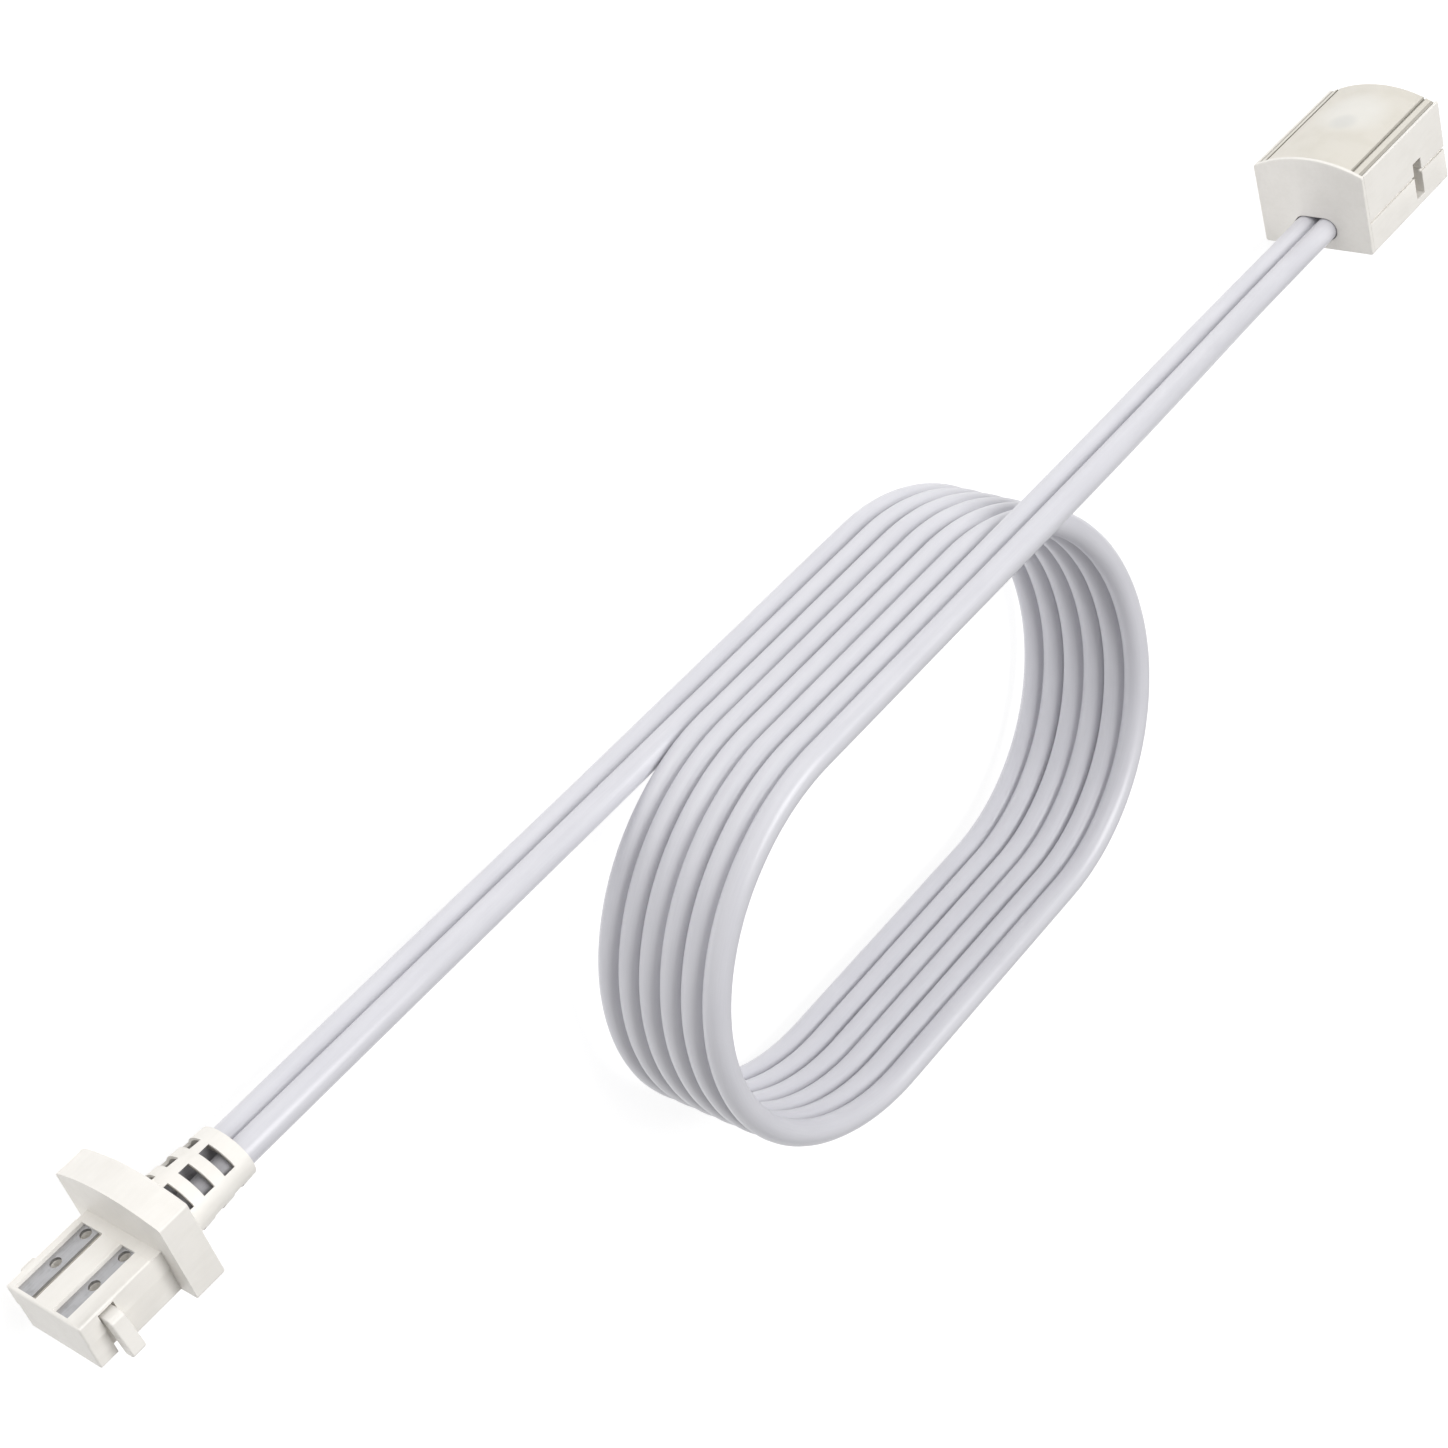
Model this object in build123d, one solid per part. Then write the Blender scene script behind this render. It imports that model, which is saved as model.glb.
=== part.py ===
from build123d import *
from math import hypot, pi, radians, sqrt, tan
import os

# Extension cord for clip-together low-voltage light bars: a plug with two sprung latch arms,
# a flat twin cord wound into a flat-sided coil, and a socket under a frosted lens.
#
# Row frame: +X from the plug to the socket, +Y the side of the contacts and the lens, +Z up.
# The object lies on its side, with the cord on its edge. The origin is the middle of the
# footprint of plug and socket, on the surface. Millimetres throughout.
#
# The plug and the socket are each drawn in a frame of their own and then placed:
#   plug    x = 0 at the flange's mating face, nose towards -X; y = 0 at the base; z = 0 mid-plane
#   socket  x = 0 at the cord's end, mouth towards +X;          y = 0 at the base; z = 0 mid-plane

# ---------------------------------------------------------------- driving dimensions
OVERALL_LENGTH = 219.0      # nose tip to the socket's mouth
OVERALL_DEPTH = 25.4        # socket base to the plug's crown

# flat twin cord
CORE_DIAMETER = 2.8
CORD_WIDTH = 2 * CORE_DIAMETER
STRAND_DIAMETER = 1.0

# coil: level runs with round ends, turns stacked edge on edge
COIL_TURNS = 3
COIL_RADIUS = 22.8          # middle of the cord in the round ends
COIL_HALF_RUN = 15.2        # half of a straight run
COIL_CENTRE_X = -7.1
COIL_CENTRE_Y = -21.0
END_RISE = CORD_WIDTH / 2   # each round end climbs half a turn's pitch

BEYOND = 1.0                # how far a cut runs past a face

# plug flange
FLANGE_THICKNESS = 3.3
FLANGE_WIDTH = 14.4
FLANGE_SIDE = 8.7
FLANGE_CROWN = 1.2
FLANGE_CORNER = 0.35        # corners of the flange's outline
EDGE_BREAK = 0.25           # edge of the flange's back
NOSE_EDGE = 0.2             # edges of the nose

# plug nose
NOSE_LENGTH = 9.3
NOSE_WIDTH = 10.3
NOSE_HEIGHT = 5.2
CARRIER_HEIGHT = 2.25       # upper block of the nose, which holds the contacts
TRAY_INSET = 0.25           # lower block stands in by this on each side
COLLAR_LENGTH = 1.2
COLLAR_STEP = 0.15
TROUGH_WIDTH = 8.8          # room round the crimps
TROUGH_LENGTH = 4.6
TROUGH_FLOOR_SHARE = 0.27   # floor under the crimps, as a share of the lower block

# contacts of the plug
STRIP_WIDTH = 2.0
STRIP_LENGTH = 7.75
STRIP_THICKNESS = 0.3
STRIP_RECESS = 0.4          # strip surface below the nose's top
STRIP_TIP_GAP = 0.4         # nose wall in front of the strips
WIDE_CHANNEL_EXTRA = 0.95   # the left channel is this much wider, as a polarity key
WIDE_CHANNEL_DROP = 0.9     # floor of that extra width below the strip's surface
CONTACT_Z = (-3.28, 2.14)   # middles of the left and the right strip
CONTACT_HOLE = 1.15
CONTACT_HOLE_X = (-1.8, -5.25)
CONTACT_HOLE_DEPTH = 1.7
CRIMP_LENGTH = 2.0
CRIMP_WALL = 0.2

# latch arms
ARM_LENGTH_X = 1.5
ARM_THICKNESS = 1.35
ARM_MID_X = -6.45           # from the mating face
ARM_TOP = 4.5
ARM_FOOT = 0.1
ARM_SPREAD = 0.1            # foot stands this far inside the flange's edge
ARM_SLANT = 0.65            # how much further out the foot is than the top
ARM_ROOT = 0.5              # the root reaches this far into the nose
ARM_ROOT_HEIGHT = 0.9
ARM_TOP_BEVEL = 0.3
ARM_FOOT_BEVEL = 0.4
ARM_CLEARANCE = 0.25        # behind the arm in its pocket
ARM_SIDE_CLEARANCE = 0.12   # beside the arm in its pocket
ARM_HEADROOM = 0.35         # over the arm, for its swing
ARM_FOLD_DEPTH = 1.45       # room that the folded arm needs under the carrier

# strain relief sleeve
RELIEF_LENGTH = 8.4
RELIEF_ROOT = (6.3, 8.0)    # outer height and width at the flange
RELIEF_TIP = (5.2, 6.8)     # the same at the cord
RELIEF_WALL = 0.55
RELIEF_RIM = 1.4            # length of the plain collar that grips the cord
WINDOW_COUNT = 3
WINDOW_PITCH = 2.5
WINDOW_FIRST = 1.2          # from the flange to the middle of the first window
WINDOW_LENGTH = 1.25
WINDOW_WIDTH = 3.0
WINDOW_TURNS = (45, 135)    # each pair of windows faces across the oval, in degrees

# where the cord runs through plug and socket
PLUG_CORD_HEIGHT = 3.2      # middle of the cord over the plug's base
CORD_CLEARANCE = 0.1
CORD_SEAT = 0.25            # under the cord, on the socket's floor

# socket
SOCKET_LENGTH = 18.5
SOCKET_WIDTH = 15.0
SOCKET_SIDE = 10.6
SOCKET_CROWN = 1.75
SOCKET_CORNER = 0.35        # corners of the socket's outline
CAP_THICKNESS = 0.5
CAP_EDGE = 0.15
PARTING_HEIGHT = 4.4
PARTING_GROOVE = 0.35
FLOOR_THICKNESS = 1.15
FIT_CLEARANCE = 0.15        # all round the nose in the socket's mouth
CAVITY_LIFT = 0.15          # nose base over the socket's floor
CAVITY_DEPTH = 9.6
BACK_WALL = 0.8
CEILING_THICKNESS = 0.8
SIDE_WALL = 1.3
RIM_THICKNESS = 0.4         # wall outside the lens
LATCH_SLOT_LENGTH = 1.8
LATCH_SLOT_TOP = 6.0
LATCH_SLOT_BOTTOM = 1.15

# lens
LENS_WALL = 1.1
LENS_SKIRT = 1.0            # depth of its straight sides
LENS_GAP = 0.05
LENS_END_GAP = 0.3
LENS_RISE = 0.3             # how much the skirt's wall is thicker than the crown's
LENS_GROOVE_INSET = 1.1     # from the lens's side to its groove
LENS_GROOVE = 0.25          # width of the groove, and its depth below the arch

# circuit board and what is on it
BOARD_THICKNESS = 1.0
BOARD_GAP = 0.15
BOARD_START = 1.6
LED_SIZE = (3.5, 0.8, 2.8)
LED_X = 11.4
RESISTOR_SIZE = (2.0, 0.55, 1.25)
RESISTOR_X = 7.9
SOLDER_X = 5.4
SOLDER_DIAMETER = 1.9
SOLDER_HEIGHT = 0.7

# spring contacts
LEAF_WIDTH = 1.5
LEAF_THICKNESS = 0.2
LEAF_SLOT_CLEARANCE = 0.2
LEAF_ROOT_X = 10.3
LEAF_DIP_X = 14.6
LEAF_TIP_X = 16.4
LEAF_ROOT_DROP = 0.3        # leaf root below the board
LEAF_DIP_DROP = 1.5
LEAF_TIP_DROP = 0.9
LEAF_GAP = 0.06
LEAF_SLOT_MARGIN = 0.5      # slot beyond the leaf's tip
FOOT_LENGTH = 0.7

# cord clamp in the socket
CLAMP_X = (1.5, 3.1)
CLAMP_THICKNESS = 1.1
POST_WIDTH = 1.2
POST_GAP = 0.5              # between the cord and each post
CORD_END_IN_SOCKET = 4.0
CORD_END_IN_PLUG = 1.5
STRAND_STUB = 0.6           # straight strand before it drops to the crimp
STRAND_DROP_LENGTH = 0.35

# ---------------------------------------------------------------- derived places
FLANGE_X = -OVERALL_LENGTH / 2 + NOSE_LENGTH
PLUG_BASE_Y = OVERALL_DEPTH / 2 - FLANGE_SIDE - FLANGE_CROWN
PLUG_PLACE = Pos(FLANGE_X, PLUG_BASE_Y, FLANGE_WIDTH / 2)
SOCKET_X = OVERALL_LENGTH / 2 - SOCKET_LENGTH
SOCKET_PLACE = Pos(SOCKET_X, -OVERALL_DEPTH / 2, SOCKET_WIDTH / 2)
RELIEF_END = FLANGE_THICKNESS + RELIEF_LENGTH
CARRIER_BASE = NOSE_HEIGHT - CARRIER_HEIGHT
TROUGH_FLOOR = TROUGH_FLOOR_SHARE * CARRIER_BASE
CRIMP_HEIGHT = (TROUGH_FLOOR + CARRIER_BASE) / 2
SOCKET_CORD_HEIGHT = FLOOR_THICKNESS + CORD_SEAT + CORE_DIAMETER / 2
CLAMP_WIDTH = CORD_WIDTH + 2 * (POST_GAP + POST_WIDTH)
NOSE_LIFT = FLOOR_THICKNESS + CAVITY_LIFT
CAVITY_TOP = NOSE_LIFT + NOSE_HEIGHT + FIT_CLEARANCE
CAVITY_HALF = NOSE_WIDTH / 2 + FIT_CLEARANCE
CAVITY_START = SOCKET_LENGTH - CAVITY_DEPTH
BOARD_BASE = CAVITY_TOP + CEILING_THICKNESS
BOARD_TOP = BOARD_BASE + BOARD_THICKNESS
WALL_INSIDE = SOCKET_WIDTH / 2 - SIDE_WALL
SLOT_MID_X = SOCKET_LENGTH + ARM_MID_X


# ---------------------------------------------------------------- small helpers
def block(x_span, y_span, z_span):
    """Box between two limits along each axis."""
    spans = (x_span, y_span, z_span)
    middle = [(low + high) / 2 for low, high in spans]
    size = [high - low for low, high in spans]
    return Pos(*middle) * Box(*size)


def bar(x_span, y_span, z_middle, width):
    """Box of a given width about one z."""
    return block(x_span, y_span, (z_middle - width / 2, z_middle + width / 2))


def crowned(width, side, crown, corner=0.0):
    """Outline with a flat base, straight sides and an arched top, in y and z."""
    half = width / 2
    sides = Polyline((side, -half), (0, -half), (0, half), (side, half))
    arch = ThreePointArc((side, half), (side + crown, 0), (side, -half))
    outline = make_face(sides + arch)
    return fillet(outline.vertices(), corner) if corner else outline


def along_x(sketch, start, end):
    """Solid with an outline in y and z, between two places along x."""
    return Pos(start, 0, 0) * extrude(Plane.YZ * sketch, amount=end - start)


def upright_slot(length, thickness):
    """Round-ended outline whose length lies along z."""
    return SlotOverall(length, thickness, rotation=90)


def rod_x(diameter, start, end, y, z):
    """Round bar along x."""
    return Pos((start + end) / 2, y, z) * Rot(0, 90, 0) * Cylinder(diameter / 2, end - start)


def rod_y(diameter, low, high, x, z):
    """Round bar along y."""
    return Pos(x, (low + high) / 2, z) * Rot(90, 0, 0) * Cylinder(diameter / 2, high - low)


def bent_rod(diameter, points, radius):
    """Round bar along straight runs joined by equal arcs."""
    path = FilletPolyline(*points, radius=radius)
    section = Plane(path @ 0, z_dir=path % 0) * Circle(diameter / 2)
    return sweep(section, path=path)


# ---------------------------------------------------------------- plug
def arm_pockets(depth):
    """Spaces in the nose's flanks for the latch arms."""
    half = ARM_LENGTH_X / 2 + ARM_SIDE_CLEARANCE
    x_span = (ARM_MID_X - half, ARM_MID_X + half)
    y_span = (-BEYOND, ARM_TOP + ARM_HEADROOM)
    inner = NOSE_WIDTH / 2 - depth
    outer = NOSE_WIDTH / 2 + BEYOND
    return block(x_span, y_span, (inner, outer)) + block(x_span, y_span, (-outer, -inner))


def nose_block(y_span, width):
    """Half of the nose, with its outer edges rounded off; the faces at x = 0 and the split stay sharp."""
    body = bar((-NOSE_LENGTH, 0), y_span, 0, width)
    split = CARRIER_BASE

    def is_outer(edge):
        return edge.center().X < -NOSE_EDGE and abs(edge.center().Y - split) > NOSE_EDGE

    return fillet(body.edges().filter_by(is_outer), NOSE_EDGE)


def plug_housing():
    """Flange and lower half of the nose, with a trough for the crimps."""
    outline = crowned(FLANGE_WIDTH, FLANGE_SIDE, FLANGE_CROWN, FLANGE_CORNER)
    flange = along_x(outline, 0, FLANGE_THICKNESS)
    back = flange.faces().sort_by(Axis.X)[-1]
    flange = fillet(back.edges(), EDGE_BREAK)
    body = flange + nose_block((0, CARRIER_BASE), NOSE_WIDTH - 2 * TRAY_INSET)
    body -= bar((-TROUGH_LENGTH, 0), (TROUGH_FLOOR, CARRIER_BASE), 0, TROUGH_WIDTH)
    flange_room = (TROUGH_FLOOR, PLUG_CORD_HEIGHT + CORE_DIAMETER / 2)
    body -= bar((0, CORD_END_IN_PLUG), flange_room, 0, TROUGH_WIDTH)
    passage = upright_slot(CORD_WIDTH + 2 * CORD_CLEARANCE, CORE_DIAMETER + 2 * CORD_CLEARANCE)
    body -= along_x(Pos(PLUG_CORD_HEIGHT, 0) * passage, CORD_END_IN_PLUG - CORD_CLEARANCE, FLANGE_THICKNESS)
    return body - arm_pockets(ARM_FOLD_DEPTH)


def contact_carrier():
    """Upper half of the nose, with a channel for each contact strip."""
    body = nose_block((CARRIER_BASE, NOSE_HEIGHT), NOSE_WIDTH)
    body -= bar((-COLLAR_LENGTH, 0), (NOSE_HEIGHT - COLLAR_STEP, NOSE_HEIGHT), 0, NOSE_WIDTH)
    strip_top = NOSE_HEIGHT - STRIP_RECESS
    start = -NOSE_LENGTH + STRIP_TIP_GAP
    end = start + STRIP_LENGTH
    left_edge = CONTACT_Z[0] + STRIP_WIDTH / 2
    key_floor = strip_top - WIDE_CHANNEL_DROP
    body -= block((start, end), (key_floor, NOSE_HEIGHT), (left_edge, left_edge + WIDE_CHANNEL_EXTRA))
    for z in CONTACT_Z:
        body -= bar((start, end), (strip_top, NOSE_HEIGHT), z, STRIP_WIDTH)
        body -= bar((start, -STRIP_THICKNESS), (strip_top - STRIP_THICKNESS, strip_top), z, STRIP_WIDTH)
        body -= bar((-2 * STRIP_THICKNESS, -STRIP_THICKNESS), (CARRIER_BASE, strip_top), z, STRIP_WIDTH)
        for x in CONTACT_HOLE_X:
            body -= rod_y(CONTACT_HOLE, strip_top - CONTACT_HOLE_DEPTH, strip_top, x, z)
    return body - arm_pockets(ARM_ROOT + ARM_CLEARANCE)


def plug_contact(z):
    """One stamped contact: strip, folded tail and wire crimp."""
    strip_top = NOSE_HEIGHT - STRIP_RECESS
    start = -NOSE_LENGTH + STRIP_TIP_GAP
    strip = bar((start, -STRIP_THICKNESS), (strip_top - STRIP_THICKNESS, strip_top), z, STRIP_WIDTH)
    for x in CONTACT_HOLE_X:
        strip -= rod_y(CONTACT_HOLE, 0, NOSE_HEIGHT, x, z)
    tail = bar((-2 * STRIP_THICKNESS, -STRIP_THICKNESS), (CRIMP_HEIGHT, strip_top), z, STRIP_WIDTH)
    outer = STRAND_DIAMETER + 2 * CRIMP_WALL
    barrel = rod_x(outer, -2 * STRIP_THICKNESS - CRIMP_LENGTH, -STRIP_THICKNESS, CRIMP_HEIGHT, z)
    bore = rod_x(STRAND_DIAMETER, -NOSE_LENGTH, 0, CRIMP_HEIGHT, z)
    return strip + tail + barrel - bore


def latch_arm(side):
    """Sprung arm on one flank; side is +1 for the upper one as the object lies."""
    foot_outer = FLANGE_WIDTH / 2 - ARM_SPREAD
    foot_inner = foot_outer - ARM_THICKNESS
    top_outer = foot_outer - ARM_SLANT
    shoulder = ARM_TOP - ARM_ROOT_HEIGHT
    lean = ARM_SLANT * (shoulder - ARM_FOOT) / (ARM_TOP - ARM_FOOT)
    root = NOSE_WIDTH / 2 - ARM_ROOT
    corners = [
        (ARM_TOP, root),
        (ARM_TOP, top_outer - ARM_TOP_BEVEL),
        (ARM_TOP - ARM_TOP_BEVEL, top_outer),
        (ARM_FOOT + ARM_FOOT_BEVEL, foot_outer),
        (ARM_FOOT, foot_outer - ARM_FOOT_BEVEL),
        (ARM_FOOT, foot_inner),
        (shoulder, foot_inner - lean),
        (shoulder, root),
    ]
    outline = make_face(Polyline(*[(y, side * z) for y, z in corners], close=True))
    return along_x(outline, ARM_MID_X - ARM_LENGTH_X / 2, ARM_MID_X + ARM_LENGTH_X / 2)


def strain_relief():
    """Tapered oval sleeve with four rows of windows, gripping the cord at its end."""
    def oval(size, shrink):
        height, width = size
        return Pos(PLUG_CORD_HEIGHT, 0) * Ellipse(height / 2 - shrink, width / 2 - shrink)

    start = Plane.YZ.offset(FLANGE_THICKNESS)
    end = Plane.YZ.offset(RELIEF_END)
    rim = Plane.YZ.offset(RELIEF_END - RELIEF_RIM)
    body = loft([start * oval(RELIEF_ROOT, 0), end * oval(RELIEF_TIP, 0)])
    body -= loft([start * oval(RELIEF_ROOT, RELIEF_WALL), rim * oval(RELIEF_TIP, RELIEF_WALL)])
    cord = upright_slot(CORD_WIDTH, CORE_DIAMETER)
    body -= along_x(Pos(PLUG_CORD_HEIGHT, 0) * cord, FLANGE_THICKNESS, RELIEF_END)
    reach = RELIEF_ROOT[1]
    for index in range(WINDOW_COUNT):
        middle = FLANGE_THICKNESS + WINDOW_FIRST + index * WINDOW_PITCH
        x_span = (middle - WINDOW_LENGTH / 2, middle + WINDOW_LENGTH / 2)
        for turn in WINDOW_TURNS:
            window = bar(x_span, (-reach, reach), 0, WINDOW_WIDTH)
            body -= Pos(0, PLUG_CORD_HEIGHT, 0) * Rot(turn, 0, 0) * window
    return body


def cord_end_plug():
    """The cord inside the strain relief and the flange."""
    section = Pos(PLUG_CORD_HEIGHT, 0) * upright_slot(CORD_WIDTH, CORE_DIAMETER)
    return along_x(section, CORD_END_IN_PLUG, RELIEF_END)


def plug_strand(z):
    """Bared wire from the cord's end down into a crimp."""
    core_z = CORE_DIAMETER / 2 if z > 0 else -CORE_DIAMETER / 2
    bend = CORD_END_IN_PLUG - STRAND_STUB
    points = [
        Vector(CORD_END_IN_PLUG, PLUG_CORD_HEIGHT, core_z),
        Vector(bend, PLUG_CORD_HEIGHT, core_z),
        Vector(bend - STRAND_DROP_LENGTH, CRIMP_HEIGHT, z),
        Vector(-STRIP_THICKNESS - CRIMP_LENGTH, CRIMP_HEIGHT, z),
    ]
    pieces = [Pos(*joint) * Sphere(STRAND_DIAMETER / 2) for joint in points[1:3]]
    for start, end in zip(points, points[1:]):
        run = end - start
        pieces.append(Plane((start + end) / 2, z_dir=run) * Cylinder(STRAND_DIAMETER / 2, run.length))
    return Part() + pieces


# ---------------------------------------------------------------- socket
def latch_slots():
    """Windows in both side walls that the latch arms snap into."""
    half = LATCH_SLOT_LENGTH / 2
    x_span = (SLOT_MID_X - half, SLOT_MID_X + half)
    return bar(x_span, (LATCH_SLOT_BOTTOM, LATCH_SLOT_TOP), 0, SOCKET_WIDTH + 2 * BEYOND)


def nose_cavity():
    """Mouth of the socket: the nose's shape with its clearance."""
    y_span = (FLOOR_THICKNESS, CAVITY_TOP)
    return bar((CAVITY_START, SOCKET_LENGTH + BEYOND), y_span, 0, 2 * CAVITY_HALF)


def end_cap():
    """Arched plate at the cord's end, with a tongue inside the walls."""
    outline = crowned(SOCKET_WIDTH, SOCKET_SIDE, SOCKET_CROWN, SOCKET_CORNER)
    plate = along_x(outline, 0, CAP_THICKNESS)
    front = plate.faces().sort_by(Axis.X)[0]
    plate = fillet(front.edges(), CAP_EDGE)
    hole = upright_slot(CORD_WIDTH + 2 * CORD_CLEARANCE, CORE_DIAMETER + 2 * CORD_CLEARANCE)
    return plate - along_x(Pos(SOCKET_CORD_HEIGHT, 0) * hole, 0, CAP_THICKNESS)


def base_shell():
    """Lower half of the socket: floor, lower walls and clamp posts."""
    half = SOCKET_WIDTH / 2
    body = bar((CAP_THICKNESS, SOCKET_LENGTH), (0, PARTING_HEIGHT), 0, SOCKET_WIDTH)
    body = fillet(body.edges().filter_by(Axis.X).group_by(Axis.Y)[0], SOCKET_CORNER)
    chamber = (CAP_THICKNESS, CAVITY_START - BACK_WALL)
    body -= bar(chamber, (FLOOR_THICKNESS, PARTING_HEIGHT), 0, 2 * WALL_INSIDE)
    for side in (-1, 1):
        y_span = (PARTING_HEIGHT - PARTING_GROOVE, PARTING_HEIGHT)
        z_span = sorted((side * half, side * (half - PARTING_GROOVE)))
        body -= block((CAP_THICKNESS, SOCKET_LENGTH), y_span, z_span)
    clamp_base = SOCKET_CORD_HEIGHT + CORE_DIAMETER / 2 - CLAMP_THICKNESS / 2
    for side in (-1, 1):
        post_z = side * (CLAMP_WIDTH - POST_WIDTH) / 2
        body += bar(CLAMP_X, (FLOOR_THICKNESS, clamp_base), post_z, POST_WIDTH)
    return body - nose_cavity() - latch_slots()


def upper_shell():
    """Upper half of the socket: walls, ceiling of the mouth and the lens seat."""
    half = SOCKET_WIDTH / 2
    body = bar((CAP_THICKNESS, SOCKET_LENGTH), (PARTING_HEIGHT, SOCKET_SIDE), 0, SOCKET_WIDTH)
    chamber = (CAP_THICKNESS, CAVITY_START - BACK_WALL)
    body -= bar(chamber, (PARTING_HEIGHT, BOARD_BASE), 0, 2 * WALL_INSIDE)
    body -= bar((CAP_THICKNESS, SOCKET_LENGTH), (BOARD_BASE, SOCKET_SIDE), 0, 2 * WALL_INSIDE)
    seat = SOCKET_SIDE - LENS_SKIRT
    body -= bar((CAP_THICKNESS, SOCKET_LENGTH), (seat, SOCKET_SIDE), 0, 2 * (half - RIM_THICKNESS))
    end_wall = (SOCKET_LENGTH - BACK_WALL, SOCKET_LENGTH)
    body += bar(end_wall, (BOARD_BASE, seat), 0, 2 * WALL_INSIDE)
    for z in CONTACT_Z:
        slot_start = LEAF_ROOT_X - LEAF_GAP - FOOT_LENGTH - LEAF_SLOT_CLEARANCE
        slot = (slot_start, LEAF_TIP_X + LEAF_SLOT_MARGIN)
        body -= bar(slot, (CAVITY_TOP - BEYOND, BOARD_BASE), z, LEAF_WIDTH + 2 * LEAF_SLOT_CLEARANCE)
    return body - nose_cavity() - latch_slots()


def lens():
    """Arched frosted window on a skirt, closed at the mouth's end, with a groove along each side."""
    width = SOCKET_WIDTH - 2 * RIM_THICKNESS - 2 * LENS_GAP
    start = CAP_THICKNESS + LENS_GAP
    end = SOCKET_LENGTH - LENS_END_GAP
    seat = Pos(SOCKET_SIDE - LENS_SKIRT, 0)
    outer = seat * crowned(width, LENS_SKIRT, SOCKET_CROWN - LENS_GAP)
    inner_side = LENS_SKIRT - LENS_RISE
    inner_crown = SOCKET_CROWN - LENS_WALL + LENS_RISE
    inner = seat * crowned(width - 2 * LENS_WALL, inner_side, inner_crown)
    body = along_x(outer, start, end) - along_x(inner, start, end - LENS_WALL)
    crown = SOCKET_CROWN - LENS_GAP
    radius = (crown ** 2 + (width / 2) ** 2) / (2 * crown)
    groove_z = width / 2 - LENS_GROOVE_INSET
    arch = SOCKET_SIDE + crown - radius + sqrt(radius ** 2 - groove_z ** 2)
    for side in (-1, 1):
        body -= bar((start, end), (arch - LENS_GROOVE, arch + BEYOND), side * groove_z, LENS_GROOVE)
    return body


def circuit_board():
    """Board over the mouth's ceiling, with a hole for each wire."""
    x_span = (BOARD_START, SOCKET_LENGTH - BACK_WALL - BOARD_GAP)
    body = bar(x_span, (BOARD_BASE, BOARD_TOP), 0, 2 * (WALL_INSIDE - BOARD_GAP))
    for side in (-1, 1):
        body -= rod_y(STRAND_DIAMETER, BOARD_BASE, BOARD_TOP, SOLDER_X, side * CORE_DIAMETER / 2)
    return body


def on_board(size, x):
    """Small component standing on the board."""
    length, height, width = size
    return bar((x - length / 2, x + length / 2), (BOARD_TOP, BOARD_TOP + height), 0, width)


def contact_foot(z):
    """Fixed end of a spring contact, soldered under the board."""
    x_span = (LEAF_ROOT_X - LEAF_GAP - FOOT_LENGTH, LEAF_ROOT_X - LEAF_GAP)
    drop = LEAF_ROOT_DROP + LEAF_THICKNESS
    return bar(x_span, (BOARD_BASE - drop, BOARD_BASE), z, LEAF_WIDTH)


def contact_leaf(z):
    """Bent leaf that dips into the mouth and presses on a contact strip."""
    top = [
        (LEAF_ROOT_X, BOARD_BASE - LEAF_ROOT_DROP),
        (LEAF_DIP_X, BOARD_BASE - LEAF_DIP_DROP + LEAF_THICKNESS),
        (LEAF_TIP_X, BOARD_BASE - LEAF_TIP_DROP),
    ]
    under = [(x, y - LEAF_THICKNESS) for x, y in reversed(top)]
    outline = make_face(Polyline(*top, *under, close=True))
    return Pos(0, 0, z - LEAF_WIDTH / 2) * extrude(outline, amount=LEAF_WIDTH)


def cord_clamp():
    """Bar across the posts that holds the cord down on the floor."""
    base = SOCKET_CORD_HEIGHT + CORE_DIAMETER / 2 - CLAMP_THICKNESS / 2
    body = bar(CLAMP_X, (base, base + CLAMP_THICKNESS), 0, CLAMP_WIDTH)
    groove = Pos(SOCKET_CORD_HEIGHT, 0) * upright_slot(CORD_WIDTH, CORE_DIAMETER)
    return body - along_x(groove, *CLAMP_X)


def cord_end_socket():
    """The cord inside the socket's cap and clamp."""
    section = Pos(SOCKET_CORD_HEIGHT, 0) * upright_slot(CORD_WIDTH, CORE_DIAMETER)
    return along_x(section, 0, CORD_END_IN_SOCKET)


def socket_strand(side):
    """Bared wire from the cord's end up through the board."""
    z = side * CORE_DIAMETER / 2
    points = [
        (CORD_END_IN_SOCKET, SOCKET_CORD_HEIGHT, z),
        (SOLDER_X, SOCKET_CORD_HEIGHT, z),
        (SOLDER_X, BOARD_TOP, z),
    ]
    return bent_rod(STRAND_DIAMETER, points, STRAND_DIAMETER)


def solder_joint(side):
    """Cone of solder where a wire comes through the board."""
    place = Pos(SOLDER_X, BOARD_TOP + SOLDER_HEIGHT / 2, side * CORE_DIAMETER / 2)
    return place * Rot(-90, 0, 0) * Cone(SOLDER_DIAMETER / 2, STRAND_DIAMETER / 3, SOLDER_HEIGHT)


# ---------------------------------------------------------------- cord
COIL_RUN_Y = COIL_CENTRE_Y + COIL_RADIUS
COIL_LEFT = COIL_CENTRE_X - COIL_HALF_RUN
COIL_RIGHT = COIL_CENTRE_X + COIL_HALF_RUN
FIRST_LEVEL = CORD_WIDTH / 2
LAST_LEVEL = FIRST_LEVEL + COIL_TURNS * CORD_WIDTH
PLUG_EXIT = (FLANGE_X + RELIEF_END, PLUG_BASE_Y + PLUG_CORD_HEIGHT, FLANGE_WIDTH / 2)
SOCKET_ENTRY = (SOCKET_X, -OVERALL_DEPTH / 2 + SOCKET_CORD_HEIGHT, SOCKET_WIDTH / 2)


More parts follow.
